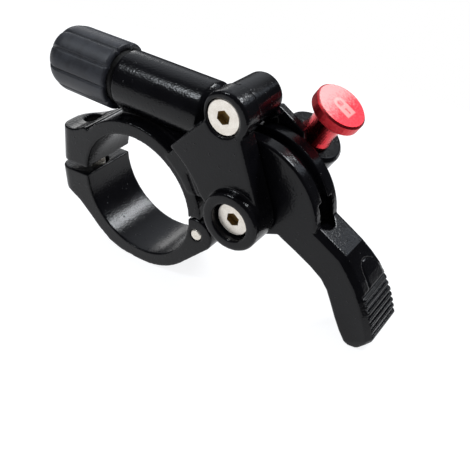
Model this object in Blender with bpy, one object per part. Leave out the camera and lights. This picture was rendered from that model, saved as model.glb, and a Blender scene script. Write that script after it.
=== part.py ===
"""Fork lockout lever for a 22.2 mm handlebar: hinged clamp, cable sector lever, release button.

Working frame while building: X to the lever side, Y along the handlebar, Z up, with the
handlebar's axis at X = Z = 0 and the near side of the clamp ring at Y = 0. At the end the
whole unit is set down so that the centre of its base is the origin.
"""
import math

import bmesh
import bpy
from mathutils import Matrix, Vector

MM = 0.001

# Clearances between pieces
SEAT_GAP = 0.15 * MM          # between faces that bear on each other
FIT_GAP = 0.12 * MM           # round a shaft in its hole, on the radius
SIDE_GAP = 0.3 * MM           # beside a piece that turns
THREAD_DEPTH = 0.3 * MM       # a screw's core is this much inside its tapped hole

# Handlebar clamp
BAR_R = 11.1 * MM
RING_WALL = 2.4 * MM
CLAMP_WIDTH = 10.8 * MM
RING_R = BAR_R + RING_WALL
SPLIT_Z = 0.35 * MM           # top of the strap's ear
SPLIT_GAP = 1.5 * MM
EAR_OVERHANG = 3.0 * MM       # of the ears past the ring
EAR_REACH = RING_R + EAR_OVERHANG
EAR_END_R = 3.9 * MM
EAR_CORNER_R = 2.4 * MM       # of the ears' end on the near side
EAR_TOP_Z = 8.6 * MM
EAR_LEAN = 0.16               # outward lean of the body's ear, on its height
STRAP_EAR_OVER = 1.7 * MM     # of the strap's ear past the top of the body's ear
# Fillet between the ear's top and the ring, in X and Z: from the ring's side, above the ear's top
EAR_FILLET = ((-0.7, 0.0), (0.5, 0.1), (1.6, 0.45), (2.6, 1.0), (3.6, 1.25))
# Underside of the strap's ear, in X and Z, past the ring's side and down to its lowest line
EAR_UNDERSIDE = ((-4.4, -4.0), (-3.5, -4.25), (-2.3, -4.65), (-0.5, -5.8), (1.65, -8.0), (3.8, -10.25),
                 (6.0, -12.05), (8.3, -12.95), (9.9, -13.2), (11.1, -13.22))
WEB_INSET = 2.6 * MM          # of the web under the tube, from the ring's sides

# Hinge of the strap
HINGE_INSET = 1.0 * MM        # of the pin's axis, from the ring's outer face
HINGE_X = RING_R - HINGE_INSET
HINGE_Z = -2.9 * MM
HINGE_PIN_R = 1.0 * MM
KNUCKLE_R = 3.0 * MM
TONGUE_WIDTH = 4.4 * MM

# Clamp screw, from below through the strap into the body's ear
CLAMP_SCREW_INSET = 3.1 * MM  # from the ears' end
CLAMP_SCREW_SIDE = 0.2 * MM   # off the middle of the clamp, to the near side
CLAMP_SCREW_X = CLAMP_SCREW_INSET - EAR_REACH
CLAMP_SCREW_Y = CLAMP_WIDTH / 2 - CLAMP_SCREW_SIDE
CLAMP_SCREW_R = 1.5 * MM
CLAMP_HEAD_R = 2.35 * MM
CLAMP_HEAD_H = 2.2 * MM
CLAMP_SEAT_Z = -2.9 * MM
CLAMP_WASHER_T = 0.35 * MM
CLAMP_TIP_SINK = 1.2 * MM
CLAMP_HEX_AF = 2.0 * MM

# Lower screw, pivot of the lever
PIVOT_X = RING_R + 7.9 * MM
PIVOT_Z = RING_R - 8.6 * MM

# Cable tube and its adjuster; the tube leans down towards the lever
TUBE_R = 4.8 * MM
TUBE_EDGE = 0.4 * MM
TUBE_START_X = -4.1 * MM
TUBE_END_X = PIVOT_X - 8.0 * MM
TUBE_AXIS_X = 0.0
TUBE_AXIS_Z = RING_R + 4.2 * MM
TUBE_AXIS_Y = CLAMP_WIDTH / 2
TUBE_LEAN = math.radians(4.57)
CABLE_HOLE_R = 1.1 * MM
CABLE_HOLE_RUN = 12.0 * MM    # past the tube's end, towards the sector's groove
BARREL_R = 2.7 * MM
BARREL_DEPTH = 9.0 * MM
BARREL_EDGE = 0.3 * MM        # chamfer inside, and its sink in the knob's outer end
BARREL_SOCKET_R = 2.1 * MM
BARREL_SOCKET_DEPTH = 10.5 * MM
KNOB_R = 5.5 * MM
KNOB_LENGTH = 13.4 * MM
KNOB_LOBES = 8
KNOB_LOBE_DEPTH = 0.34 * MM
KNOB_DOME = 3.5 * MM
KNOB_EDGE = 0.25 * MM
KNOB_STANDOFF = 0.9 * MM      # between the knob's rim and the tube's mouth
KNOB_SKIRT_DEPTH = 2.4 * MM
KNOB_SKIRT_WALL = 0.7 * MM
O_RING_WIRE_R = 0.75 * MM

# Bracket plate that carries both pivots
PLATE_NEAR_Y = -2.0 * MM
PLATE_FAR_Y = 1.6 * MM
PLATE_LEFT_R = RING_R + 2.9 * MM
PLATE_EDGE = 0.35 * MM
EYE_X = PIVOT_X - 1.5 * MM    # upper boss outline
EYE_Z = PIVOT_Z + 15.9 * MM
EYE_R = 3.7 * MM
RELEASE_X = EYE_X - 0.45 * MM # upper screw, pivot of the release arm
RELEASE_Z = EYE_Z - 0.3 * MM
PIVOT_BOSS_R = 4.8 * MM
PIVOT_BOSS_RISE = 1.5 * MM
BOSS_EDGE = 0.45 * MM
NECK_X = PIVOT_X + 1.2 * MM   # where the plate's right edge starts below the eye
NECK_Z = PIVOT_Z + 13.1 * MM
SHOULDER_X = PIVOT_X - 8.5 * MM   # where the plate's left edge turns towards the eye
SHOULDER_Z = PIVOT_Z + 11.4 * MM

# Countersunk pivot screws with hexagon sockets
SCREW_R = 1.5 * MM
SCREW_HEAD_R = 2.72 * MM
SCREW_HEAD_RIM = 0.35 * MM
SCREW_HEX_AF = 2.0 * MM
SCREW_HEX_DEPTH = 1.1 * MM
UPPER_HEAD_SINK = 0.4 * MM
LOWER_HEAD_SINK = 1.3 * MM
LOWER_RECESS_R = 3.05 * MM
SCREW_END_EDGE = 0.3 * MM
SCREW_OVER = 0.5 * MM         # how far the lower screw stands out of its nut
NUT_AF = 5.5 * MM
NUT_H = 2.0 * MM
WASHER_T = 0.5 * MM
WASHER_R = 3.1 * MM

# Lever
LEVER_NEAR_Y = 2.0 * MM
FLANGE_NEAR_T = 2.3 * MM
GROOVE_WIDTH = 1.9 * MM
FLANGE_FAR_T = 2.4 * MM
SECTOR_R = 11.6 * MM
GROOVE_DEPTH = 1.5 * MM
SECTOR_END_DEG = 128.0
HUB_R = 4.9 * MM
BUSH_WALL = 0.9 * MM
NIPPLE_R = 2.15 * MM
NIPPLE_LENGTH = 4.6 * MM
NIPPLE_CENTRE_DEG = 6.0
LEVER_EDGE = 0.35 * MM
LEVER_UNIT = 1.0 * MM         # of the table of stations and of the arch's path
ARM_OUTER_EDGE = 0.9 * MM     # facet along the arm's near outer edge
ARM_EDGE = 0.4 * MM
RIB_COUNT = 7
RIB_PITCH = 1.08 * MM
RIB_GROOVE = 0.5 * MM
RIB_DEPTH = 0.42 * MM
RIB_START_Y = 2.4 * MM
RIB_DRAFT = 0.1 * MM          # of a rib groove's sides, each
ARCH_WIRE_R = 0.2 * MM        # section of the engraved arch above the ribs

# Torsion springs; each turn is this many wire radii from the next
COIL_PITCH = 2.3
SPRING_TURNS = 3
SPRING_WALL = 0.3 * MM        # between a spring and its pocket
RETURN_WIRE_R = 0.35 * MM
RETURN_SPRING_R = 3.55 * MM
RELEASE_WIRE_R = 0.24 * MM
RELEASE_SPRING_R = 2.58 * MM
SPRING_LEG_DEPTH = 1.2 * MM   # of the spring's leg hole in the bracket plate

# Release arm and button
HUB_NEAR_R = 3.5 * MM         # release hub beside the bracket plate
HUB_FAR_R = 3.25 * MM
HUB_FAR_Y = 8.8 * MM
SLEEVE_R = 2.15 * MM          # barrel of the sleeve nut that the hub turns on
SLEEVE_FLANGE_R = 2.6 * MM
SLEEVE_FLANGE_T = 0.6 * MM
SLEEVE_FLANGE_SINK = 0.1 * MM # of the flange in the hub's far end
FRICTION_WASHER_T = 0.3 * MM
ARM_T = 1.4 * MM
ARM_HALF_WIDTH = 2.4 * MM
ARM_REACH = 8.2 * MM          # from the hub's axis to where the arm meets the collar
RIM_CLEARANCE = 0.6 * MM      # between the arm and the sector's rim
NOSE_CLEARANCE = 0.25 * MM    # between the pawl nose and the sector's rim
NOSE_NEAR_Y = 6.4 * MM        # pawl nose, over the far flange's rim
NOSE_FAR_Y = 8.4 * MM
BUTTON_LEAN = math.radians(34.0)
COLLAR_X = PIVOT_X + 4.27 * MM # centre of the collar's top face
COLLAR_Z = PIVOT_Z + 8.25 * MM
COLLAR_R = 4.9 * MM
COLLAR_Y = 13.95 * MM
COLLAR_HEIGHT = 3.1 * MM
COLLAR_EDGE = 0.5 * MM
COLLAR_FLOOR = 0.7 * MM       # under the button's stem
COLLAR_BORE_R = 1.3 * MM
BUTTON_Y = 13.15 * MM
BUTTON_RISE = 7.65 * MM        # from the collar's top to the button's top
BUTTON_HEAD_R = 4.15 * MM
BUTTON_HEAD_T = 2.0 * MM
BUTTON_NECK_R = 2.2 * MM
BUTTON_FOOT_R = 2.7 * MM
BUTTON_FOOT_T = 0.7 * MM
BUTTON_PIN_R = 0.45 * MM
BUTTON_PIN_SINK = 1.3 * MM    # from the collar's top to the pin's axis
BUTTON_PIN_NEAR_Y = 11.0 * MM
BUTTON_PIN_END = 0.4 * MM     # of the pin's far end inside the collar's far side
SMALL_EDGE = 0.3 * MM         # broken edge of the arm, the collar's foot and the button

SMALL_ROUND = 24              # sides of a small round face
PASS_THROUGH = 1.0 * MM       # how far a cutter runs past the face that it cuts

# Derived places
EAR_BOTTOM_Z = SPLIT_Z + SPLIT_GAP
LEVER_FAR_Y = LEVER_NEAR_Y + FLANGE_NEAR_T + GROOVE_WIDTH + FLANGE_FAR_T
GROOVE_Y = LEVER_NEAR_Y + FLANGE_NEAR_T
ARM_NEAR_Y = LEVER_FAR_Y + SIDE_GAP
BUSH_OVER = 0.1 * MM          # so that the washer doesn't pinch the lever
BUSH_FAR_Y = LEVER_FAR_Y + BUSH_OVER
SLEEVE_FLANGE_Y = HUB_FAR_Y - SLEEVE_FLANGE_T - SLEEVE_FLANGE_SINK
BUSH_INNER_R = SCREW_R + FIT_GAP
BUSH_OUTER_R = BUSH_INNER_R + BUSH_WALL
TUBE_DIR = Vector((math.cos(TUBE_LEAN), 0.0, -math.sin(TUBE_LEAN)))
BUTTON_DIR = Vector((math.sin(BUTTON_LEAN), 0.0, math.cos(BUTTON_LEAN)))
ARM_DIR = Vector((math.cos(BUTTON_LEAN), 0.0, -math.sin(BUTTON_LEAN)))
AXIS_Y = Vector((0.0, 1.0, 0.0))


def clear_scene():
    for item in list(bpy.data.objects):
        bpy.data.objects.remove(item, do_unlink=True)


def finish_mesh(name, mesh_data):
    """Close up a bmesh with its faces outwards and put it in the scene as an object."""
    bmesh.ops.remove_doubles(mesh_data, verts=mesh_data.verts, dist=0.0005 * MM)
    bmesh.ops.recalc_face_normals(mesh_data, faces=mesh_data.faces)
    mesh = bpy.data.meshes.new(name)
    mesh_data.to_mesh(mesh)
    mesh_data.free()
    item = bpy.data.objects.new(name, mesh)
    bpy.context.scene.collection.objects.link(item)
    return item


def arc(centre, radius, start_deg, end_deg, steps):
    """Points along an arc in a plane, both ends included."""
    points = []
    for step in range(steps + 1):
        angle = math.radians(start_deg + (end_deg - start_deg) * step / steps)
        points.append((centre[0] + radius * math.cos(angle), centre[1] + radius * math.sin(angle)))
    return points


def prism(name, outline, start, end, axis="Y"):
    """Extrude an outline along Y (outline in X, Z) or along Z (outline in X, Y)."""
    def place(point, level):
        if axis == "Y":
            return (point[0], level, point[1])
        return (point[0], point[1], level)

    data = bmesh.new()
    near = [data.verts.new(place(point, start)) for point in outline]
    far = [data.verts.new(place(point, end)) for point in outline]
    data.faces.new(near)
    data.faces.new(list(reversed(far)))
    for index in range(len(outline)):
        after = (index + 1) % len(outline)
        data.faces.new((near[index], far[index], far[after], near[after]))
    return finish_mesh(name, data)


def skin(data, rings, closed=False):
    """Join rings of equal length into a tube; cap both ends unless it is closed on itself."""
    loops = [[data.verts.new(point) for point in ring] for ring in rings]
    pairs = list(zip(loops, loops[1:]))
    if closed:
        pairs.append((loops[-1], loops[0]))
    for low, high in pairs:
        for index in range(len(low)):
            after = (index + 1) % len(low)
            data.faces.new((low[index], low[after], high[after], high[index]))
    if not closed:
        data.faces.new(list(reversed(loops[0])))
        data.faces.new(loops[-1])


def frame_across(direction):
    """Two unit vectors square to a direction."""
    side = direction.cross(Vector((0.0, 1.0, 0.0)))
    if side.length < 0.1:
        side = Vector((1.0, 0.0, 0.0))
    side.normalize()
    return side, direction.cross(side).normalized()


def turned(name, base, direction, profile, sides=SMALL_ROUND, radius_at=None):
    """Solid of revolution: profile is (radius, distance along the axis) from one end to the
    other, back through the bore where it has one. A radius of zero closes an end."""
    side, across = frame_across(direction)
    closed = profile[0][0] > 0.0 and profile[0] == profile[-1]
    data = bmesh.new()
    rings = []
    for radius, along in profile[:-1] if closed else profile:
        ring = []
        for index in range(sides):
            angle = math.tau * index / sides
            reach = radius if radius_at is None else radius_at(radius, along, angle)
            turn = math.cos(angle) * side + math.sin(angle) * across
            ring.append(base + direction * along + turn * reach)
        rings.append(ring)
    skin(data, rings, closed)
    return finish_mesh(name, data)


def cylinder(name, base, direction, radius, start, end, sides=SMALL_ROUND):
    return turned(name, base, direction, [(radius, start), (radius, end)], sides)


def tube_profile(outer, inner, start, end):
    """Closed profile of a plain ring or sleeve."""
    return [(outer, start), (outer, end), (inner, end), (inner, start), (outer, start)]


def wire(name, path, radius, sides=6):
    """Round wire along a path."""
    data = bmesh.new()
    rings = []
    for index, point in enumerate(path):
        before = path[max(index - 1, 0)]
        after = path[min(index + 1, len(path) - 1)]
        direction = (after - before).normalized()
        side = direction.orthogonal().normalized()
        if rings:
            side = (previous - direction * previous.dot(direction)).normalized()
        previous = side
        across = direction.cross(side)
        rings.append([point + radius * (math.cos(math.tau * k / sides) * side
                                        + math.sin(math.tau * k / sides) * across)
                      for k in range(sides)])
    skin(data, rings)
    return finish_mesh(name, data)


def combine(target, operation, *tools):
    """Union with, or cut by, each tool in turn, and bake the result."""
    for tool in tools:
        step = target.modifiers.new(tool.name, "BOOLEAN")
        step.operation = operation
        step.solver = "EXACT"
        step.object = tool
        bake(target)
        bpy.data.objects.remove(tool, do_unlink=True)
    return target


def bake(target):
    bpy.context.view_layer.update()
    graph = bpy.context.evaluated_depsgraph_get()
    mesh = bpy.data.meshes.new_from_object(target.evaluated_get(graph))
    target.modifiers.clear()
    target.data = mesh


def join(target, *tools):
    return combine(target, "UNION", *tools)


def cut(target, *tools):
    return combine(target, "DIFFERENCE", *tools)


def round_edges(target, width, angle_deg=50.0, segments=2):
    """Break the sharp edges of a plain solid before it is joined to others."""
    step = target.modifiers.new("edge", "BEVEL")
    step.width = width
    step.segments = segments
    step.limit_method = "ANGLE"
    step.angle_limit = math.radians(angle_deg)
    step.use_clamp_overlap = True
    bake(target)
    return target


def hexagon(centre, across_flats, turn_deg=0.0):
    return arc(centre, across_flats / math.sqrt(3.0), turn_deg, turn_deg + 300.0, 5)


def at(x, y, z):
    return Vector((x, y, z))


def ear_plan(reach, root):
    """Plan outline of a clamp ear: a round nose that widens back to the ring."""
    corner = arc((EAR_CORNER_R - reach, EAR_CORNER_R), EAR_CORNER_R, 270.0, 180.0, 6)
    nose = arc((EAR_END_R - reach, EAR_END_R), EAR_END_R, 180.0, 135.0, 4)
    run = CLAMP_WIDTH - nose[-1][1]
    return [(root, 0.0)] + corner + nose + [(nose[-1][0] + run, CLAMP_WIDTH), (root, CLAMP_WIDTH)]


def ear_block(reaches, root, levels):
    """Block of a clamp ear, its reach given at its lower and its upper level."""
    data = bmesh.new()
    skin(data, [[at(x, y, level) for x, y in ear_plan(reach, root)]
                for reach, level in zip(reaches, levels)])
    return finish_mesh("ear", data)


def from_ring_side(points):
    """Points in X and Z, given in millimetres from the ring's side and the bar's axis."""
    return [(x * MM - RING_R, z * MM) for x, z in points]


def bar_cutter():
    return cylinder("bar_hole", at(0, 0, 0), AXIS_Y, BAR_R, -2 * CLAMP_WIDTH, 3 * CLAMP_WIDTH, 64)


def sector_outline(radius, inner, start_deg, end_deg, steps=24):
    outer = arc((0.0, 0.0), radius, start_deg, end_deg, steps)
    return outer + list(reversed(arc((0.0, 0.0), inner, start_deg, end_deg, steps)))


def countersunk_screw(name, x, z, head_y, length):
    """Countersunk machine screw along Y with a hexagon socket in its head."""
    cone_end = SCREW_HEAD_RIM + SCREW_HEAD_R - SCREW_R
    base = at(x, head_y, z)
    edge = SCREW_HEAD_RIM / 3
    profile = [(SCREW_HEAD_R - edge, 0.0), (SCREW_HEAD_R, edge), (SCREW_HEAD_R, SCREW_HEAD_RIM),
               (SCREW_R, cone_end), (SCREW_R, length - SCREW_END_EDGE), (SCREW_R - SCREW_END_EDGE, length)]
    screw = turned(name, base, AXIS_Y, profile)
    socket = prism("socket", hexagon((x, z), SCREW_HEX_AF, 20.0), head_y - PASS_THROUGH,
                   head_y + SCREW_HEX_DEPTH)
    return cut(screw, socket)


def screw_seat(x, z, head_y, face_y, recess_r):
    """Cutter for a countersunk head: straight recess, cone and shank hole."""
    gap = SEAT_GAP
    rim = head_y + SCREW_HEAD_RIM + gap
    cone_r = SCREW_HEAD_R + gap
    hole_r = SCREW_R + FIT_GAP
    return turned("seat", at(x, 0, z), AXIS_Y,
                  [(recess_r, face_y - PASS_THROUGH), (recess_r, rim - (recess_r - cone_r)), (cone_r, rim),
                   (hole_r, rim + cone_r - hole_r), (hole_r, PLATE_FAR_Y + PASS_THROUGH)], 32)


def hex_nut(name, x, z, y):
    corner = NUT_AF / math.sqrt(3.0)
    nut = prism(name, hexagon((x, z), NUT_AF, 10.0), y, y + NUT_H)
    cone = turned("chamfer", at(x, y, z), AXIS_Y,
                  [(corner * 0.9, 0.0), (corner * 1.02, NUT_H * 0.15), (corner * 1.02, NUT_H * 0.85),
                   (corner * 0.9, NUT_H)])
    combine(nut, "INTERSECT", cone)
    return cut(nut, cylinder("bore", at(x, y, z), AXIS_Y, SCREW_R + FIT_GAP, -PASS_THROUGH,
                             NUT_H + PASS_THROUGH))


def flat_washer(name, base, direction, outer, inner, thickness):
    return turned(name, base, direction, tube_profile(outer, inner, 0.0, thickness))


def tube_point(x):
    """Point on the cable tube's axis at a given X."""
    along = (x - TUBE_AXIS_X) / TUBE_DIR.x
    return at(TUBE_AXIS_X, TUBE_AXIS_Y, TUBE_AXIS_Z) + TUBE_DIR * along


def soft_corner(before, corner, after):
    """Points of a curve that replaces a corner, from halfway to the point before it."""
    points = []
    start, turn, end = Vector(before), Vector(corner), Vector(after)
    start = (start + turn) / 2
    end = turn + (end - turn).normalized() * 2 * (turn - start).length
    for step in range(7):
        share = step / 6
        point = start.lerp(turn, share).lerp(turn.lerp(end, share), share)
        points.append((point.x, point.y))
    return points


def plate_outline(left_r):
    """Bracket plate seen from the front: arc about the bar, upper eye, lower boss."""
    boss_to_neck = math.degrees(math.atan2(NECK_Z - PIVOT_Z, NECK_X - PIVOT_X))
    neck_run = math.hypot(NECK_X - PIVOT_X, NECK_Z - PIVOT_Z)
    tangent = boss_to_neck - math.degrees(math.acos(PIVOT_BOSS_R / neck_run))
    left = arc((0.0, 0.0), left_r, 24.0, 54.0, 10)
    shoulder = [(SHOULDER_X, SHOULDER_Z)]
    eye = arc((EYE_X, EYE_Z), EYE_R, 200.0, -42.0, 20)
    boss = arc((PIVOT_X, PIVOT_Z), PIVOT_BOSS_R, tangent, -178.0, 24)
    neck = soft_corner(eye[-1], (NECK_X, NECK_Z), boss[0])
    return left + shoulder + eye + neck + boss


def build_clamp_body():
    """Die-cast body: upper half of the clamp ring, ear, web, cable tube, bracket and bosses."""
    half = sector_outline(RING_R, BAR_R - RING_WALL / 3, -30.0, 180.0, 40)
    body = prism("clamp_body", half, 0.0, CLAMP_WIDTH)
    fillet = [(x, z + EAR_TOP_Z) for x, z in from_ring_side(EAR_FILLET)]
    levels = (EAR_BOTTOM_Z, RING_R)
    ear = ear_block([EAR_REACH + EAR_LEAN * (EAR_TOP_Z - level) for level in levels], fillet[-1][0], levels)
    above = [(-2 * RING_R, EAR_TOP_Z)] + fillet + [(0.0, fillet[-1][1]), (0.0, 2 * RING_R),
                                                   (-2 * RING_R, 2 * RING_R)]
    cut(ear, prism("above_ear", above, -PASS_THROUGH, CLAMP_WIDTH + PASS_THROUGH))
    join(body, ear)

    web_r = BAR_R + RING_WALL / 2
    web = arc((0.0, 0.0), web_r, 112.0, 42.0, 14) + [(TUBE_END_X - TUBE_R / 5, TUBE_AXIS_Z - TUBE_R / 2),
                                                   (TUBE_START_X + TUBE_R / 5, TUBE_AXIS_Z - TUBE_R / 2)]
    join(body, prism("web", web, WEB_INSET, CLAMP_WIDTH - WEB_INSET))

    start, end = tube_point(TUBE_START_X), tube_point(TUBE_END_X)
    length = (end - start).length
    tube = turned("tube", start, TUBE_DIR, [(TUBE_R - TUBE_EDGE, 0.0), (TUBE_R, TUBE_EDGE),
                                            (TUBE_R, length - 2 * TUBE_EDGE),
                                            (TUBE_R - 2 * TUBE_EDGE, length)], 40)
    join(body, tube)

    back = prism("plate_back", plate_outline(web_r), -PLATE_EDGE / 3, PLATE_FAR_Y)
    plate = prism("plate", plate_outline(PLATE_LEFT_R), PLATE_NEAR_Y, 2 * PLATE_EDGE)
    front = round_edges(plate, PLATE_EDGE)
    boss = turned("boss", at(PIVOT_X, PLATE_NEAR_Y - PIVOT_BOSS_RISE, PIVOT_Z), AXIS_Y,
                  [(PIVOT_BOSS_R - BOSS_EDGE, 0.0), (PIVOT_BOSS_R - BOSS_EDGE / 4, BOSS_EDGE / 4),
                   (PIVOT_BOSS_R, BOSS_EDGE), (PIVOT_BOSS_R, PIVOT_BOSS_RISE + 2 * BOSS_EDGE)], 40)
    join(body, back, front, boss)

    tongue_y = (CLAMP_WIDTH - TONGUE_WIDTH) / 2
    hinge = at(HINGE_X, 0.0, HINGE_Z)
    relief_r = KNUCKLE_R + SIDE_GAP
    below = [(BAR_R - 2 * RING_WALL, HINGE_Z), (HINGE_X, HINGE_Z), (HINGE_X + 2 * RING_R, HINGE_Z),
             (HINGE_X + 2 * RING_R, -2 * RING_R), (0.0, -2 * RING_R)]
    for low, high in ((-PASS_THROUGH, tongue_y), (CLAMP_WIDTH - tongue_y, CLAMP_WIDTH + PASS_THROUGH)):
        cut(body, cylinder("knuckle_room", hinge, AXIS_Y, relief_r, low, high, 32))
    lower = prism("lower_half", below, -PASS_THROUGH, CLAMP_WIDTH + PASS_THROUGH)
    cut(body, lower)
    join(body, cylinder("tongue", hinge, AXIS_Y, KNUCKLE_R - 0.1 * MM, tongue_y, CLAMP_WIDTH - tongue_y, 32))
    split = prism("split", [(0.0, -RING_R), (0.0, EAR_BOTTOM_Z), (-2 * RING_R, EAR_BOTTOM_Z),
                            (-2 * RING_R, -RING_R)], -PASS_THROUGH, CLAMP_WIDTH + PASS_THROUGH)
    cut(body, split, bar_cutter())

    cut(body, cylinder("pin_hole", hinge, AXIS_Y, HINGE_PIN_R + FIT_GAP, -PASS_THROUGH,
                       CLAMP_WIDTH + PASS_THROUGH))
    cut(body, cylinder("clamp_thread", at(CLAMP_SCREW_X, CLAMP_SCREW_Y, 0.0), at(0, 0, 1), CLAMP_SCREW_R,
                       0.0, EAR_TOP_Z + PASS_THROUGH))
    cut(body, cylinder("barrel_hole", start, TUBE_DIR, BARREL_R + THREAD_DEPTH, -PASS_THROUGH,
                       BARREL_DEPTH + SIDE_GAP, 24))
    cut(body, cylinder("cable_hole", start, TUBE_DIR, CABLE_HOLE_R, 0.0, length + CABLE_HOLE_RUN, 16))
    cut(body, screw_seat(RELEASE_X, RELEASE_Z, PLATE_NEAR_Y + UPPER_HEAD_SINK, PLATE_NEAR_Y,
                         SCREW_HEAD_R + SEAT_GAP))
    cut(body, screw_seat(PIVOT_X, PIVOT_Z, PLATE_NEAR_Y - PIVOT_BOSS_RISE + LOWER_HEAD_SINK,
                         PLATE_NEAR_Y - PIVOT_BOSS_RISE, LOWER_RECESS_R))
    for x, z, wire_r in ((PIVOT_X - RETURN_SPRING_R, PIVOT_Z, RETURN_WIRE_R),
                         (RELEASE_X - RELEASE_SPRING_R, RELEASE_Z, RELEASE_WIRE_R)):
        cut(body, cylinder("leg_hole", at(x, 0.0, z), AXIS_Y, wire_r + SEAT_GAP,
                           PLATE_FAR_Y - SPRING_LEG_DEPTH, PLATE_FAR_Y + PASS_THROUGH, 12))
    return body


def build_clamp_strap():
    """Die-cast strap: lower half of the ring, ear and the two hinge cheeks."""
    outer = arc((0.0, 0.0), RING_R, 176.0, 312.0, 30)
    knuckle = arc((HINGE_X, HINGE_Z), KNUCKLE_R, -42.0, 200.0, 20)
    inner = arc((0.0, 0.0), BAR_R - RING_WALL / 2, -24.0, -184.0, 30)
    strap = prism("clamp_strap", outer + knuckle + inner, 0.0, CLAMP_WIDTH)
    underside = from_ring_side(EAR_UNDERSIDE)
    reach = EAR_REACH + STRAP_EAR_OVER
    ear = ear_block((reach, reach), underside[-1][0], (-RING_R, SPLIT_Z))
    below = [(-2 * RING_R, underside[0][1])] + underside + [(0.0, underside[-1][1]), (0.0, -2 * RING_R),
                                                           (-2 * RING_R, -2 * RING_R)]
    cut(ear, prism("below_ear", below, -PASS_THROUGH, CLAMP_WIDTH + PASS_THROUGH))
    join(strap, ear)
    top = prism("top_half", [(-2 * RING_R, SPLIT_Z), (BAR_R - 2 * RING_WALL, SPLIT_Z),
                             (BAR_R - 2 * RING_WALL, RING_R), (-2 * RING_R, RING_R)],
                -PASS_THROUGH, CLAMP_WIDTH + PASS_THROUGH)
    hinge = at(HINGE_X, 0.0, HINGE_Z)
    tongue_y = (CLAMP_WIDTH - TONGUE_WIDTH) / 2
    slot = cylinder("slot", hinge, AXIS_Y, KNUCKLE_R + SIDE_GAP, tongue_y - SIDE_GAP,
                    CLAMP_WIDTH - tongue_y + SIDE_GAP, 32)
    pin_hole = cylinder("pin_hole", hinge, AXIS_Y, HINGE_PIN_R + FIT_GAP, -PASS_THROUGH,
                        CLAMP_WIDTH + PASS_THROUGH)
    up = at(0, 0, 1)
    base = at(CLAMP_SCREW_X, CLAMP_SCREW_Y, 0.0)
    hole = cylinder("screw_hole", base, up, CLAMP_SCREW_R + SIDE_GAP, -RING_R, RING_R)
    head = cylinder("head_room", base, up, CLAMP_HEAD_R + SIDE_GAP, -RING_R, CLAMP_SEAT_Z, 32)
    return cut(strap, top, slot, pin_hole, hole, head, bar_cutter())


def build_hinge_pin():
    end = HINGE_PIN_R * 0.15
    return turned("hinge_pin", at(HINGE_X, 0.0, HINGE_Z), AXIS_Y,
                  [(HINGE_PIN_R - end, 0.0), (HINGE_PIN_R, end), (HINGE_PIN_R, CLAMP_WIDTH - end),
                   (HINGE_PIN_R - end, CLAMP_WIDTH)], 20)


def build_clamp_screw():
    """Socket cap screw; its core is bare, inside the tapped hole's full diameter."""
    core = CLAMP_SCREW_R - THREAD_DEPTH - FIT_GAP
    seat = CLAMP_SEAT_Z - CLAMP_WASHER_T - 2 * SEAT_GAP
    head_low = seat - CLAMP_HEAD_H
    tip = EAR_TOP_Z - CLAMP_TIP_SINK
    edge = CLAMP_HEAD_H / 9
    base = at(CLAMP_SCREW_X, CLAMP_SCREW_Y, 0.0)
    screw = turned("clamp_screw", base, at(0, 0, 1),
                   [(CLAMP_HEAD_R - edge, head_low), (CLAMP_HEAD_R, head_low + edge),
                    (CLAMP_HEAD_R, seat), (core, seat), (core, tip - edge), (core - edge, tip)])
    socket = prism("socket", hexagon((CLAMP_SCREW_X, CLAMP_SCREW_Y), CLAMP_HEX_AF),
                   head_low - PASS_THROUGH, head_low + CLAMP_HEAD_H * 0.55, "Z")
    return cut(screw, socket)


def build_clamp_washer():
    base = at(CLAMP_SCREW_X, CLAMP_SCREW_Y, CLAMP_SEAT_Z - SEAT_GAP - CLAMP_WASHER_T)
    return flat_washer("clamp_washer", base, at(0, 0, 1), CLAMP_HEAD_R, CLAMP_SCREW_R, CLAMP_WASHER_T)


def knob_base():
    """Point on the tube's axis at the knob's rim."""
    return tube_point(TUBE_START_X) - TUBE_DIR * KNOB_STANDOFF


def build_adjuster_knob():
    """Moulded knob with shallow lobes, a domed outer end and a skirt over the seal ring."""
    def lobed(radius, along, angle):
        if radius < KNOB_R * 0.7:
            return radius
        wave = abs(math.sin(KNOB_LOBES * angle / 2))
        return radius - KNOB_LOBE_DEPTH * (1.0 - wave)

    dome = []
    for step in range(6):
        angle = math.radians(15.0 * step + 5.0)
        dome.append((KNOB_R - KNOB_DOME + KNOB_DOME * math.cos(angle),
                     KNOB_LENGTH - KNOB_DOME + KNOB_DOME * math.sin(angle)))
    profile = [(KNOB_R - KNOB_EDGE, 0.0), (KNOB_R, KNOB_EDGE), (KNOB_R, KNOB_LENGTH - KNOB_DOME)] + dome
    knob = turned("adjuster_knob", knob_base(), -TUBE_DIR, profile, KNOB_LOBES * 8, lobed)
    skirt_r = KNOB_R - KNOB_LOBE_DEPTH - KNOB_SKIRT_WALL
    bore = BARREL_R + FIT_GAP
    hole = turned("hole", knob_base(), -TUBE_DIR,
                  [(skirt_r, -PASS_THROUGH), (skirt_r, KNOB_SKIRT_DEPTH), (bore, KNOB_SKIRT_DEPTH),
                   (bore, KNOB_LENGTH + PASS_THROUGH)], 32)
    return cut(knob, hole)


def build_adjuster_barrel():
    """Hollow bolt in the knob: screwed into the tube, with the cable housing's socket outside."""
    inner_end = KNOB_STANDOFF + BARREL_DEPTH
    outer_end = BARREL_EDGE - KNOB_LENGTH
    socket = outer_end + BARREL_SOCKET_DEPTH
    return turned("adjuster_barrel", knob_base(), TUBE_DIR,
                  [(BARREL_R, outer_end), (BARREL_R, inner_end - BARREL_EDGE),
                   (BARREL_R - BARREL_EDGE, inner_end),
                   (CABLE_HOLE_R, inner_end), (CABLE_HOLE_R, socket), (BARREL_SOCKET_R, socket),
                   (BARREL_SOCKET_R, outer_end), (BARREL_R, outer_end)])


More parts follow.
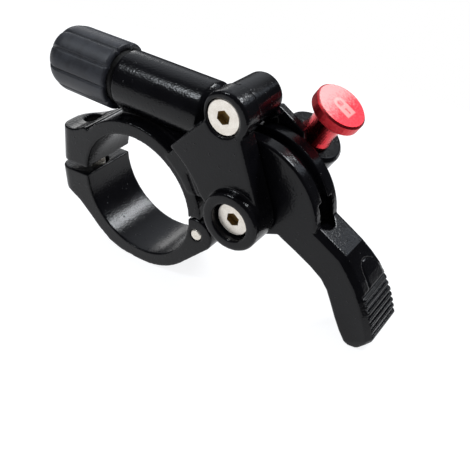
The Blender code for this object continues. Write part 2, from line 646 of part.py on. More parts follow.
def build_o_ring():
    """Friction ring round the barrel, against the tube's mouth."""
    ring_r = BARREL_R + FIT_GAP + O_RING_WIRE_R
    centre = tube_point(TUBE_START_X) - TUBE_DIR * (O_RING_WIRE_R + SEAT_GAP)
    section = [(ring_r + x, z) for x, z in arc((0.0, 0.0), O_RING_WIRE_R, 0.0, 360.0, 10)]
    section[-1] = section[0]
    return turned("adjuster_o_ring", centre, TUBE_DIR, section, 32)


# Stations along the arm and paddle, in lever units from the pivot: outer edge, inner edge, near and far side
LEVER_STATIONS = [
    ((9.8, 1.6), (3.1, -1.9), 2.0, 8.6), ((11.8, -0.1), (5.5, -3.6), 2.0, 8.6),
    ((14.0, -1.5), (8.0, -5.0), 2.0, 8.6), ((16.3, -3.0), (10.8, -6.7), 2.0, 8.6),
    ((17.8, -4.9), (12.8, -8.2), 1.95, 9.2), ((19.1, -6.8), (14.0, -9.8), 1.85, 9.7),
    ((20.2, -9.0), (14.9, -11.9), 1.75, 10.1), ((21.2, -11.5), (15.8, -14.1), 1.65, 10.4),
    ((21.9, -13.7), (16.8, -16.3), 1.6, 10.5), ((22.35, -15.6), (17.7, -17.9), 1.6, 10.5),
    ((22.1, -16.4), (18.4, -18.4), 1.7, 10.4), ((21.0, -17.5), (19.6, -18.4), 1.8, 10.3),
]
# Path of the arch on the paddle, in lever units: along the outer edge, and across it
ARCH_PATH = [(2.0, 4.6), (0.5, 4.65), (-1.0, 4.8), (-1.9, 5.1), (-2.4, 5.7), (-2.45, 6.4), (-2.1, 7.25),
             (-1.4, 8.2), (-0.6, 8.9), (0.3, 9.3), (1.2, 9.45), (2.0, 9.45)]


def from_pivot_axis(point):
    """Point at Y = 0, from a table's X and Z in lever units from the lever's pivot."""
    return at(PIVOT_X + point[0] * LEVER_UNIT, 0.0, PIVOT_Z + point[1] * LEVER_UNIT)


def paddle_point(along):
    """Point at Y = 0 on the paddle's outer edge, measured from the sixth station."""
    start = from_pivot_axis(LEVER_STATIONS[5][0])
    after = from_pivot_axis(LEVER_STATIONS[6 if along > 0.0 else 4][0])
    return start + (after - start).normalized() * abs(along)


def spring_length(wire_r):
    """Depth of the pocket for a coil of this wire, with a wire's width to spare."""
    return (SPRING_TURNS * COIL_PITCH + 3) * wire_r + SIDE_GAP


def build_lever():
    """Cast lever: grooved cable sector, arm with a flat facet and a ribbed thumb paddle."""
    pivot = at(PIVOT_X, 0.0, PIVOT_Z)
    outline = [(PIVOT_X + x, PIVOT_Z + z) for x, z in arc((0, 0), SECTOR_R, -2.0, SECTOR_END_DEG, 40)]
    outline += [(PIVOT_X + x, PIVOT_Z + z) for x, z in arc((0, 0), HUB_R, 150.0, 300.0, 14)]
    heel = from_pivot_axis(((LEVER_STATIONS[0][1][0] + LEVER_STATIONS[2][1][0]) / 2, -3.1))
    outline.append((heel.x, heel.z))
    lever = round_edges(prism("lever", outline, LEVER_NEAR_Y, LEVER_FAR_Y), LEVER_EDGE)

    data = bmesh.new()
    rings = []
    for outer, inner, near, far in LEVER_STATIONS:
        top = from_pivot_axis(outer)
        low = from_pivot_axis(inner)
        drop = (low - top).normalized()
        near_y = AXIS_Y * near * LEVER_UNIT
        far_y = AXIS_Y * far * LEVER_UNIT
        rings.append([top + drop * ARM_OUTER_EDGE + near_y, top + near_y + AXIS_Y * ARM_OUTER_EDGE,
                      top + far_y - AXIS_Y * ARM_EDGE, top + drop * ARM_EDGE + far_y,
                      low - drop * ARM_EDGE + far_y, low + far_y - AXIS_Y * ARM_EDGE,
                      low + near_y + AXIS_Y * ARM_EDGE, low - drop * ARM_EDGE + near_y])
    skin(data, rings)
    join(lever, finish_mesh("arm", data))

    groove_r = SECTOR_R - GROOVE_DEPTH
    band = sector_outline(SECTOR_R + 2 * GROOVE_DEPTH, groove_r, NIPPLE_CENTRE_DEG, SECTOR_END_DEG + 20, 36)
    groove = [(PIVOT_X + x, PIVOT_Z + z) for x, z in band]
    cut(lever, prism("groove", groove, GROOVE_Y, GROOVE_Y + GROOVE_WIDTH))
    angle = math.radians(NIPPLE_CENTRE_DEG)
    out = Vector((math.cos(angle), 0.0, math.sin(angle)))
    along = Vector((-math.sin(angle), 0.0, math.cos(angle)))
    pocket = pivot + out * (groove_r + SIDE_GAP) + AXIS_Y * (GROOVE_Y + GROOVE_WIDTH / 2)
    cut(lever, cylinder("nipple_room", pocket, along, NIPPLE_R, -NIPPLE_LENGTH / 2, NIPPLE_LENGTH / 2))

    cut(lever, cylinder("bore", pivot, AXIS_Y, BUSH_OUTER_R + FIT_GAP, 0.0, LEVER_FAR_Y + PASS_THROUGH))
    cut(lever, cylinder("spring_room", pivot, AXIS_Y, RETURN_SPRING_R + RETURN_WIRE_R + SPRING_WALL,
                        LEVER_NEAR_Y - PASS_THROUGH, LEVER_NEAR_Y + spring_length(RETURN_WIRE_R), 32))
    start = from_pivot_axis(LEVER_STATIONS[6][0])
    end = from_pivot_axis(LEVER_STATIONS[9][0])
    run = (end - start).normalized()
    lift = Vector((-run.z, 0.0, run.x))
    for index in range(RIB_COUNT):
        centre = start + run * (RIB_PITCH * (index - 0.2))
        half = RIB_GROOVE / 2
        mouth = 2 * RIB_DEPTH
        corners = [centre + run * (-half) + lift * (-RIB_DEPTH), centre + run * half + lift * (-RIB_DEPTH),
                   centre + run * (half + RIB_DRAFT) + lift * mouth,
                   centre + run * (-half - RIB_DRAFT) + lift * mouth]
        cut(lever, prism("rib", [(p.x, p.z) for p in corners], RIB_START_Y, 2 * LEVER_FAR_Y))
    path = [paddle_point(along * LEVER_UNIT) + AXIS_Y * y * LEVER_UNIT for along, y in ARCH_PATH]
    return cut(lever, wire("arch", path, ARCH_WIRE_R, 8))


def build_pivot_bushing():
    return turned("pivot_bushing", at(PIVOT_X, 0.0, PIVOT_Z), AXIS_Y,
                  tube_profile(BUSH_OUTER_R, BUSH_INNER_R, PLATE_FAR_Y + SEAT_GAP, BUSH_FAR_Y))


def build_torsion_spring(name, x, z, radius, wire_r):
    """Coil about Y beside the bracket plate, with a straight leg into the plate's leg hole."""
    start_y = PLATE_FAR_Y + wire_r + 2 * SIDE_GAP
    path = [at(x - radius, PLATE_FAR_Y - SPRING_LEG_DEPTH + SIDE_GAP, z),
            at(x - radius, start_y - SIDE_GAP, z)]
    steps = 16
    for step in range(SPRING_TURNS * steps + 1):
        angle = math.pi + math.tau * step / steps
        path.append(at(x + radius * math.cos(angle), start_y + COIL_PITCH * wire_r * step / steps,
                       z + radius * math.sin(angle)))
    return wire(name, path, wire_r)


def from_hub(reach, turn_deg):
    """Point in X, Z at a distance from the release pivot; the angle is from +X towards +Z."""
    angle = math.radians(turn_deg)
    return (RELEASE_X + reach * math.cos(angle), RELEASE_Z + reach * math.sin(angle))


def from_pivot(reach, turn_deg):
    angle = math.radians(turn_deg)
    return (PIVOT_X + reach * math.cos(angle), PIVOT_Z + reach * math.sin(angle))


def build_release_arm():
    """Cast release arm: long hub on the upper screw, arm behind the sector, collar and pawl nose."""
    hub_at = at(RELEASE_X, 0.0, RELEASE_Z)
    near_y = PLATE_FAR_Y + SIDE_GAP
    far_y = ARM_NEAR_Y + ARM_T
    edge = SMALL_EDGE
    arm = turned("release_arm", hub_at, AXIS_Y,
                 [(HUB_NEAR_R - edge / 2, near_y), (HUB_NEAR_R, near_y + edge),
                  (HUB_FAR_R, HUB_FAR_Y - 2 * edge), (HUB_FAR_R - edge / 3, HUB_FAR_Y - edge / 2),
                  (HUB_FAR_R - edge, HUB_FAR_Y)], 40)
    lean_deg = -math.degrees(BUTTON_LEAN)
    wall_r = HUB_FAR_R - SIDE_GAP
    rim_clear = SECTOR_R + RIM_CLEARANCE
    top = from_hub(wall_r, lean_deg)
    gusset_r = HUB_FAR_R + ARM_T / 2
    gusset = [from_hub(wall_r, -98.0), from_hub(wall_r, lean_deg - 2.0), from_hub(gusset_r, lean_deg - 6.0),
              from_hub(gusset_r, -62.0), from_hub(gusset_r, -84.0)]
    join(arm, prism("gusset", gusset, NOSE_FAR_Y - SMALL_EDGE, far_y - SMALL_EDGE))

    collar = at(COLLAR_X, COLLAR_Y, COLLAR_Z)
    drop = BUTTON_DIR * (COLLAR_HEIGHT - COLLAR_FLOOR)
    low = collar + ARM_DIR * ARM_HALF_WIDTH - drop
    back = collar - ARM_DIR * ARM_HALF_WIDTH - drop
    outline = [top, from_hub(ARM_REACH, lean_deg), (low.x, low.z), (back.x, back.z),
               from_pivot(rim_clear, 88.0), from_hub(wall_r, -105.0)]
    join(arm, prism("arm", outline, ARM_NEAR_Y, far_y))
    nose_r = SECTOR_R + NOSE_CLEARANCE
    nose = [from_hub(wall_r, -95.0), from_hub(wall_r, -130.0), from_pivot(nose_r * 1.008, 109.5),
            from_pivot(nose_r, 106.5)]
    join(arm, prism("nose", nose, NOSE_NEAR_Y, NOSE_FAR_Y))
    join(arm, turned("collar", collar, -BUTTON_DIR,
                     [(COLLAR_R - COLLAR_EDGE, 0.0), (COLLAR_R, COLLAR_EDGE),
                      (COLLAR_R, COLLAR_HEIGHT - edge), (COLLAR_R - edge, COLLAR_HEIGHT)], 40))

    bore = SLEEVE_R + FIT_GAP
    flange_y = SLEEVE_FLANGE_Y - FRICTION_WASHER_T - 2 * SEAT_GAP
    spring_r = RELEASE_SPRING_R + RELEASE_WIRE_R + SPRING_WALL / 2
    cut(arm, cylinder("bore", hub_at, AXIS_Y, bore, 0.0, far_y + PASS_THROUGH, 32))
    cut(arm, cylinder("flange_room", hub_at, AXIS_Y, SLEEVE_FLANGE_R + SEAT_GAP, flange_y,
                      far_y + PASS_THROUGH, 32))
    pocket_y = near_y + spring_length(RELEASE_WIRE_R)
    cut(arm, cylinder("spring_room", hub_at, AXIS_Y, spring_r, 0.0, pocket_y, 32))
    stem = at(COLLAR_X, BUTTON_Y, COLLAR_Z)
    cut(arm, cylinder("stem_room", stem, -BUTTON_DIR, COLLAR_BORE_R, -PASS_THROUGH,
                      COLLAR_HEIGHT - COLLAR_FLOOR))
    pin = stem - BUTTON_DIR * BUTTON_PIN_SINK
    return cut(arm, cylinder("pin_hole", at(pin.x, 0.0, pin.z), AXIS_Y, BUTTON_PIN_R + FIT_GAP,
                             BUTTON_PIN_NEAR_Y - SEAT_GAP, COLLAR_Y + 2 * COLLAR_R, 16))


def build_sleeve_nut():
    """Flanged sleeve nut on the release screw; the hub turns on its barrel."""
    near_y = PLATE_FAR_Y + SEAT_GAP
    far_y = SLEEVE_FLANGE_Y + SLEEVE_FLANGE_T
    return turned("release_sleeve_nut", at(RELEASE_X, 0.0, RELEASE_Z), AXIS_Y,
                  [(SLEEVE_R, near_y), (SLEEVE_R, SLEEVE_FLANGE_Y), (SLEEVE_FLANGE_R, SLEEVE_FLANGE_Y),
                   (SLEEVE_FLANGE_R, far_y), (BUSH_INNER_R, far_y), (BUSH_INNER_R, near_y),
                   (SLEEVE_R, near_y)])


def build_release_button():
    """Turned button: flat head, waisted neck and a stem that is pinned in the collar."""
    base = at(COLLAR_X, BUTTON_Y, COLLAR_Z)
    neck_top = BUTTON_RISE - BUTTON_HEAD_T
    edge = SMALL_EDGE
    stem_end = COLLAR_FLOOR + SIDE_GAP - COLLAR_HEIGHT
    profile = [(COLLAR_BORE_R - FIT_GAP, stem_end), (COLLAR_BORE_R - FIT_GAP, SEAT_GAP),
               (BUTTON_FOOT_R, SEAT_GAP), (BUTTON_FOOT_R, BUTTON_FOOT_T)]
    for step in range(1, 8):
        share = step / 8
        waist = math.sin(math.pi * share) ** 0.8
        flare = BUTTON_FOOT_R * (1.0 + 0.15 * share)
        profile.append((flare - (BUTTON_FOOT_R - BUTTON_NECK_R) * waist,
                        BUTTON_FOOT_T + (neck_top - BUTTON_FOOT_T) * share))
    profile += [(BUTTON_HEAD_R - edge, neck_top), (BUTTON_HEAD_R, neck_top + edge),
                (BUTTON_HEAD_R, BUTTON_RISE - edge), (BUTTON_HEAD_R - edge, BUTTON_RISE)]
    button = turned("release_button", base, BUTTON_DIR, profile, 40)
    pin = base - BUTTON_DIR * BUTTON_PIN_SINK
    return cut(button, cylinder("pin_hole", at(pin.x, 0.0, pin.z), AXIS_Y, BUTTON_PIN_R + FIT_GAP,
                                0.0, 2 * BUTTON_Y, 16))


def build_button_pin():
    pin = at(COLLAR_X, 0.0, COLLAR_Z) - BUTTON_DIR * BUTTON_PIN_SINK
    end = COLLAR_Y + COLLAR_R - BUTTON_PIN_END
    edge = BUTTON_PIN_R / 4
    return turned("button_pin", pin, AXIS_Y,
                  [(BUTTON_PIN_R - edge, BUTTON_PIN_NEAR_Y), (BUTTON_PIN_R, BUTTON_PIN_NEAR_Y + edge),
                   (BUTTON_PIN_R, end - edge), (BUTTON_PIN_R - edge, end)], 16)


def pieces():
    """Every piece by the body that it moves with."""
    lower_head_y = PLATE_NEAR_Y - PIVOT_BOSS_RISE + LOWER_HEAD_SINK
    upper_head_y = PLATE_NEAR_Y + UPPER_HEAD_SINK
    pivot_washer_y = BUSH_FAR_Y + SEAT_GAP
    pivot_nut_y = pivot_washer_y + WASHER_T + SEAT_GAP
    release_washer_y = SLEEVE_FLANGE_Y - SEAT_GAP - FRICTION_WASHER_T
    return {
        "body": [build_clamp_body(), build_hinge_pin(), build_o_ring(), build_pivot_bushing(),
                 countersunk_screw("pivot_screw", PIVOT_X, PIVOT_Z, lower_head_y,
                                   pivot_nut_y + NUT_H + SCREW_OVER - lower_head_y),
                 flat_washer("pivot_washer", at(PIVOT_X, pivot_washer_y, PIVOT_Z), AXIS_Y, WASHER_R,
                             BUSH_INNER_R, WASHER_T),
                 hex_nut("pivot_nut", PIVOT_X, PIVOT_Z, pivot_nut_y),
                 build_torsion_spring("return_spring", PIVOT_X, PIVOT_Z, RETURN_SPRING_R, RETURN_WIRE_R),
                 countersunk_screw("release_screw", RELEASE_X, RELEASE_Z, upper_head_y,
                                   HUB_FAR_Y - SCREW_OVER - upper_head_y),
                 build_sleeve_nut(),
                 flat_washer("release_washer", at(RELEASE_X, release_washer_y, RELEASE_Z), AXIS_Y,
                             SLEEVE_FLANGE_R, SLEEVE_R + FIT_GAP, FRICTION_WASHER_T),
                 build_torsion_spring("release_spring", RELEASE_X, RELEASE_Z, RELEASE_SPRING_R,
                                      RELEASE_WIRE_R)],
        "strap": [build_clamp_strap(), build_clamp_screw(), build_clamp_washer()],
        "adjuster": [build_adjuster_barrel()],
        "knob": [build_adjuster_knob()],
        "lever": [build_lever()],
        "release": [build_release_arm(), build_release_button(), build_button_pin()],
    }


AXES = {
    "body": (0.0, 0.0, 0.0),
    "strap": (HINGE_X, CLAMP_WIDTH / 2, HINGE_Z),
    "adjuster": tuple(tube_point(TUBE_START_X)),
    "knob": tuple(tube_point(TUBE_START_X)),
    "lever": (PIVOT_X, (LEVER_NEAR_Y + LEVER_FAR_Y) / 2, PIVOT_Z),
    "release": (RELEASE_X, ARM_NEAR_Y, RELEASE_Z),
}

FINISHES = {
    "black_paint": ((0.022, 0.022, 0.026), 0.22, 0.0),
    "knob_satin": ((0.030, 0.032, 0.042), 0.42, 0.0),
    "plated_steel": ((0.74, 0.71, 0.67), 0.28, 1.0),
    "spring_steel": ((0.42, 0.42, 0.43), 0.35, 1.0),
    "bronze": ((0.60, 0.43, 0.22), 0.35, 1.0),
    "red_anodised": ((0.62, 0.02, 0.05), 0.26, 0.9),
    "rubber": ((0.02, 0.02, 0.02), 0.7, 0.0),
}
FINISH_OF = {
    "clamp_body": "black_paint", "clamp_strap": "black_paint", "lever": "black_paint",
    "release_arm": "black_paint", "adjuster_knob": "knob_satin", "release_button": "red_anodised",
    "pivot_bushing": "bronze", "adjuster_barrel": "bronze",
    "adjuster_o_ring": "rubber", "return_spring": "spring_steel", "release_spring": "spring_steel",
}


def paint(item):
    colour, roughness, metallic = FINISHES[FINISH_OF.get(item.name, "plated_steel")]
    material = bpy.data.materials.new(item.name)
    material.use_nodes = True
    shader = material.node_tree.nodes["Principled BSDF"]
    shader.inputs["Base Color"].default_value = (*colour, 1.0)
    shader.inputs["Roughness"].default_value = roughness
    shader.inputs["Metallic"].default_value = metallic
    item.data.materials.clear()
    item.data.materials.append(material)
    item.data.shade_smooth()
    item.data.set_sharp_from_angle(angle=math.radians(32.0))


def hang_on_axis(items, name, origin):
    """Give a body's pieces a parent empty on its joint axis."""
    empty = bpy.data.objects.new(name + "_axis", None)
    empty.empty_display_size = 2.0 * MM
    bpy.context.scene.collection.objects.link(empty)
    empty.location = origin
    for item in items:
        item.data.transform(Matrix.Translation(-Vector(origin)))
        item.parent = empty
    return empty


def set_down(empties, items):
    """Move the whole unit so that the centre of its base is the origin."""
    bpy.context.view_layer.update()
    corners = [item.matrix_world @ vert.co for item in items for vert in item.data.vertices]
    low = [min(corner[k] for corner in corners) for k in range(3)]
    high = [max(corner[k] for corner in corners) for k in range(3)]
    shift = Vector((-(low[0] + high[0]) / 2, -(low[1] + high[1]) / 2, -low[2]))
    for empty in empties:
        empty.location = empty.location + shift
    bpy.context.view_layer.update()
    return shift


def build():
    clear_scene()
    groups = pieces()
    empties = []
    for name, items in groups.items():
        for item in items:
            paint(item)
        empties.append(hang_on_axis(items, name, AXES[name]))
    everything = [item for items in groups.values() for item in items]
    return set_down(empties, everything)


SHIFT = build()
print("unit moved by (mm):", [round(value / MM, 4) for value in SHIFT])
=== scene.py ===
"""Look of the fork lockout lever: camera, light, finishes and the finer shapes over the CAD frame."""
import math

import bmesh
import bpy
import numpy as np
from mathutils import Matrix, Vector


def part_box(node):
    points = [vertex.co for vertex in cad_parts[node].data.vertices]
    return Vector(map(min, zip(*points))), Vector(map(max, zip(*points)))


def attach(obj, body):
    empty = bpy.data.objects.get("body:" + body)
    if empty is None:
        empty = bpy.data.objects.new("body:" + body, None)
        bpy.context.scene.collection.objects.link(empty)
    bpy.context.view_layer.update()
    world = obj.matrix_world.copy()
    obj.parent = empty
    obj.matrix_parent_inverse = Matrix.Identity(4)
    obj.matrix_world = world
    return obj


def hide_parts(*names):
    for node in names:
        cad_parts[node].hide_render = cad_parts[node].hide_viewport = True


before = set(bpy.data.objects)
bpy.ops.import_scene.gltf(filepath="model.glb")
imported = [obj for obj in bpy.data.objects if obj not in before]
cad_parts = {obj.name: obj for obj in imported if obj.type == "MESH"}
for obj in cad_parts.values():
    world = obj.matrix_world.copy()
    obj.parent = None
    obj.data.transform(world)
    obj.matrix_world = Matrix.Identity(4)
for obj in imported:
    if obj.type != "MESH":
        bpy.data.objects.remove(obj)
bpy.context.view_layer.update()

# Camera and studio
# The unit stands on a white sheet, on the clamp's lowest line and the paddle's tip.
# A broad light stands behind it on the right, a cooler one in front on the left.
# Places are in millimetres from the near end of the handlebar's axis: X to the lever, Y along
# the bar, Z up.
MM = 0.001
PHOTO_SIZE = 470
FOCAL_PX = 700.0
SENSOR_MM = 36.0
CAMERA_PLACE = (70.24, -71.825, 62.757)
CAMERA_LOOKS_DOWN = math.radians(35.5)
CAMERA_TURN = math.radians(34.824)
CLAMP_WIDTH = 10.8
HINGE_X, HINGE_Z = 12.5, -2.9
PIN_LOW, PIN_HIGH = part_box("hinge_pin")
PIN_CENTRE = (Vector(PIN_LOW) + Vector(PIN_HIGH)) / 2
BAR = PIN_CENTRE - Vector((HINGE_X * MM, CLAMP_WIDTH * MM / 2, HINGE_Z * MM))


def place(x, y, z):
    """A point given in millimetres from the near end of the handlebar's axis."""
    return BAR + Vector((x, y, z)) * MM


camera_data = bpy.data.cameras.new("camera")
camera_data.sensor_width = SENSOR_MM
camera_data.lens = camera_data.sensor_width * FOCAL_PX / PHOTO_SIZE
camera_data.clip_start = 5 * MM
camera = bpy.data.objects.new("camera", camera_data)
camera.location = place(*CAMERA_PLACE)
camera.rotation_euler = (math.pi / 2 - CAMERA_LOOKS_DOWN, 0.0, CAMERA_TURN)
bpy.context.scene.collection.objects.link(camera)
bpy.context.scene.camera = camera
bpy.context.scene.view_settings.view_transform = "Standard"


class Value:
    """A number that changes over a surface: one output socket, with arithmetic on it."""

    def __init__(self, finish, socket):
        self.finish = finish
        self.socket = socket

    def maths(self, operation, *others):
        values = {0: self}
        values.update({index + 1: other for index, other in enumerate(others)})
        return self.finish.node("ShaderNodeMath", {"operation": operation}, values)

    def __add__(self, other):
        return self.maths("ADD", other)

    def __sub__(self, other):
        return self.maths("SUBTRACT", other)

    def __rsub__(self, other):
        return self.finish.node("ShaderNodeMath", {"operation": "SUBTRACT"}, {0: other, 1: self})

    def __mul__(self, other):
        return self.maths("MULTIPLY", other)

    def __truediv__(self, other):
        return self.maths("DIVIDE", other)

    def __abs__(self):
        return self.maths("ABSOLUTE")

    def __pow__(self, other):
        return self.maths("POWER", other)

    __radd__ = __add__
    __rmul__ = __mul__

    def over(self, edge, width):
        """0 below the edge and 1 above it, with a soft step of this width."""
        return self.finish.node("ShaderNodeMapRange",
                                {"interpolation_type": "SMOOTHSTEP", "clamp": True},
                                {"Value": self, "From Min": edge - width / 2,
                                 "From Max": edge + width / 2})

    def under(self, edge, width):
        """1 below the edge and 0 above it."""
        return 1.0 - self.over(edge, width)


class Finish:
    """A material in the making, with its Principled shader."""

    def __init__(self, name, tree=None):
        self.material = None
        if tree is None:
            self.material = bpy.data.materials.new(name)
            self.material.use_nodes = True
            tree = self.material.node_tree
            self.shader = tree.nodes["Principled BSDF"]
        self.tree = tree

    def node(self, kind, settings=None, sockets=None, out=0):
        """Any node: its settings first, then the values or links of its sockets."""
        made = self.tree.nodes.new(kind)
        for name, setting in (settings or {}).items():
            setattr(made, name, setting)
        for name, value in (sockets or {}).items():
            self.feed(made.inputs[name], value)
        return Value(self, made.outputs[out])

    def feed(self, socket, value):
        """Link or set one socket."""
        if isinstance(value, Value):
            self.tree.links.new(value.socket, socket)
        else:
            socket.default_value = value

    def surface(self, **inputs):
        """Feed inputs of the Principled shader, by their names with _ for each space."""
        for name, value in inputs.items():
            self.feed(self.shader.inputs[name.replace("_", " ")], value)
        return self

    def spot(self, origin, *directions):
        """How far a place lies from a point along each direction, in millimetres."""
        here = self.node("ShaderNodeTexCoord", out=3)
        moved = self.node("ShaderNodeVectorMath", {"operation": "SUBTRACT"},
                          {0: here, 1: tuple(origin)})
        return [self.node("ShaderNodeVectorMath", {"operation": "DOT_PRODUCT"},
                          {0: moved, 1: tuple(Vector(way) / MM)}, 1) for way in directions]

    def grain(self, size_mm, detail=2.0, roughness=0.5, shift=0.0):
        """Soft noise whose patches are about this many millimetres across, from 0 to 1."""
        here = self.node("ShaderNodeTexCoord", out=3)
        spread = self.node("ShaderNodeMapping", {},
                           {"Vector": here, "Scale": (1.0 / (size_mm * MM),) * 3,
                            "Location": (shift, shift, shift)})
        return self.node("ShaderNodeTexNoise", {}, {"Vector": spread, "Scale": 1.0, "Detail": detail,
                                                    "Roughness": roughness})

    def mix(self, factor, first, second):
        """Between two colours by a number."""
        made = self.tree.nodes.new("ShaderNodeMix")
        made.data_type = "RGBA"
        self.feed(made.inputs[0], factor)
        for socket, colour in ((made.inputs[6], first), (made.inputs[7], second)):
            self.feed(socket, colour if isinstance(colour, Value) else (*colour, 1.0))
        return Value(self, made.outputs[2])

    def relief(self, height, depth_mm):
        """Bump of this depth, on top of the bumps made before it."""
        before = self.shader.inputs["Normal"].links
        sockets = {"Height": height, "Distance": depth_mm * MM, "Strength": 1.0}
        if before:
            sockets["Normal"] = Value(self, before[0].from_socket)
        self.surface(Normal=self.node("ShaderNodeBump", {}, sockets))
        return self


# The sheet's own shade, its glow, and how much of the glow the camera and the gloss see.
SHEET_COLOUR = (0.60, 0.60, 0.61, 1.0)
SHEET_GLOW = (0.985, 0.99, 1.0, 1.0)
SHEET_STRENGTH = 1.48
SHEET_CLEAR = 0.59
SHEET_MIRRORED = 0.44
SHEET_LEFT, SHEET_FRONT = -2.0, -2.0
SHEET_RIGHT, SHEET_BACK = 0.060, 0.085
sheet_mesh = bpy.data.meshes.new("white_sheet")
sheet_corners = [(SHEET_LEFT, SHEET_FRONT, 0.0), (SHEET_RIGHT, SHEET_FRONT, 0.0),
                 (SHEET_RIGHT, SHEET_BACK, 0.0), (SHEET_LEFT, SHEET_BACK, 0.0)]
sheet_mesh.from_pydata(sheet_corners, [], [(0, 1, 2, 3)])
sheet = bpy.data.objects.new("white_sheet", sheet_mesh)
bpy.context.scene.collection.objects.link(sheet)
sheet_finish = Finish("white_sheet")
sheet_finish.surface(Base_Color=SHEET_COLOUR, Roughness=0.9)
sheet_finish.shader.inputs["Specular IOR Level"].default_value = 0.1
ray = sheet_finish.tree.nodes.new("ShaderNodeLightPath")
sheet_glow = sheet_finish.node("ShaderNodeEmission", {},
                               {"Color": SHEET_GLOW, "Strength": SHEET_STRENGTH})
sheet_mix = sheet_finish.tree.nodes.new("ShaderNodeMixShader")
seen = Value(sheet_finish, ray.outputs["Is Camera Ray"]) * SHEET_CLEAR
mirrored = Value(sheet_finish, ray.outputs["Is Glossy Ray"]) * SHEET_MIRRORED
sheet_finish.feed(sheet_mix.inputs[0], seen + mirrored)
sheet_finish.feed(sheet_mix.inputs[1], Value(sheet_finish, sheet_finish.shader.outputs[0]))
sheet_finish.feed(sheet_mix.inputs[2], sheet_glow)
sheet_finish.tree.links.new(sheet_mix.outputs[0],
                            sheet_finish.tree.nodes["Material Output"].inputs["Surface"])
sheet.data.materials.append(sheet_finish.material)

studio = bpy.data.worlds.new("studio")
studio.use_nodes = True
bpy.context.scene.world = studio
room = Finish("studio", studio.node_tree)
path = studio.node_tree.nodes.new("ShaderNodeLightPath")
direction = room.node("ShaderNodeTexCoord", out=0)


def room_glow(towards, inner_deg, outer_deg):
    """Soft patch of the room's wall round a direction, from 1 in the middle to 0."""
    along = room.node("ShaderNodeVectorMath", {"operation": "DOT_PRODUCT"},
                      {0: direction, 1: tuple(Vector(towards).normalized())}, 1)
    return room.node("ShaderNodeMapRange", {"interpolation_type": "SMOOTHSTEP", "clamp": True},
                     {"Value": along, "From Min": math.cos(math.radians(outer_deg)),
                      "From Max": math.cos(math.radians(inner_deg))})


# What the gloss sees of the dark room, the even light that everything stands in, and the white
# that the camera sees.
ROOM_DARK = (0.05, 0.05, 0.054)
CEILING = (0.80, 0.84, 0.90)
WINDOW = (1.8, 2.0, 2.3)
BACK_WALL = (3.4, 3.4, 3.4)
BACK_WALL_TOP = 0.39
EVEN_LIGHT = (0.54, 0.54, 0.55)
WHITE = (1.0, 1.0, 1.0)
height = room.node("ShaderNodeSeparateXYZ", {}, {0: direction}, 2)
ceiling = room_glow((-0.40, 0.62, 0.67), inner_deg=8.0, outer_deg=40.0)
window = room_glow((0.45, 0.76, 0.47), inner_deg=2.0, outer_deg=8.0)
back_wall = room_glow((-0.72, 0.62, 0.32), inner_deg=4.0, outer_deg=13.0)
back_wall = back_wall * height.under(BACK_WALL_TOP, 0.05)
view = room.mix(ceiling, ROOM_DARK, CEILING)
view = room.mix(window, view, WINDOW)
view = room.mix(back_wall, view, BACK_WALL)
view = room.mix(Value(room, path.outputs["Is Diffuse Ray"]), view, EVEN_LIGHT)
view = room.mix(Value(room, path.outputs["Is Camera Ray"]), view, WHITE)
room.feed(studio.node_tree.nodes["Background"].inputs["Color"], view)


LIGHT_DISTANCE = 0.6
LIT_PLACE = (18.0, 5.0, 5.0)


def soft_light(name, towards, size, radiance, colour):
    """A square light that faces the unit from a direction, with a given brightness of its face."""
    data = bpy.data.lights.new(name, "AREA")
    data.shape = "RECTANGLE"
    data.size = size
    data.size_y = size
    data.energy = radiance * math.pi * size * size
    data.color = colour
    lamp = bpy.data.objects.new(name, data)
    aim = Vector(towards).normalized()
    lamp.location = place(*LIT_PLACE) + aim * LIGHT_DISTANCE
    lamp.rotation_euler = aim.to_track_quat("Z", "Y").to_euler()
    bpy.context.scene.collection.objects.link(lamp)


soft_light("back_light", (0.37, 0.575, 0.73), size=0.16, radiance=27.0, colour=(0.93, 0.965, 1.0))
soft_light("front_light", (-0.40, -0.39, 0.83), size=0.10, radiance=34.0, colour=(0.90, 0.95, 1.0))


# Clamp body
# A die casting in one piece of light alloy: half of the clamp ring, the ear, the cable tube and
# the bracket with both pivot bosses. Its edges are blunt under a thick coat of gloss black paint.
JOIN_MM = 0.001
KEPT_SHARE = 0.5
TRUE_REACH = 0.05
FACES_OUT = 0.965
FACES_NEAR = -0.6
SCORE_REACH = 0.5


def plain_copy(name, node):
    """A new object with a CAD node's mesh, its loose triangles joined."""
    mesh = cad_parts[node].data.copy()
    joined = bmesh.new()
    joined.from_mesh(mesh)
    bmesh.ops.remove_doubles(joined, verts=joined.verts, dist=JOIN_MM * MM)
    joined.to_mesh(mesh)
    joined.free()
    mesh.materials.clear()
    copy = bpy.data.objects.new(name, mesh)
    bpy.context.scene.collection.objects.link(copy)
    return copy


def settle(piece):
    """Turn a piece's modifiers into plain mesh."""
    bpy.context.view_layer.update()
    graph = bpy.context.evaluated_depsgraph_get()
    mesh = bpy.data.meshes.new_from_object(piece.evaluated_get(graph))
    piece.modifiers.clear()
    piece.data = mesh


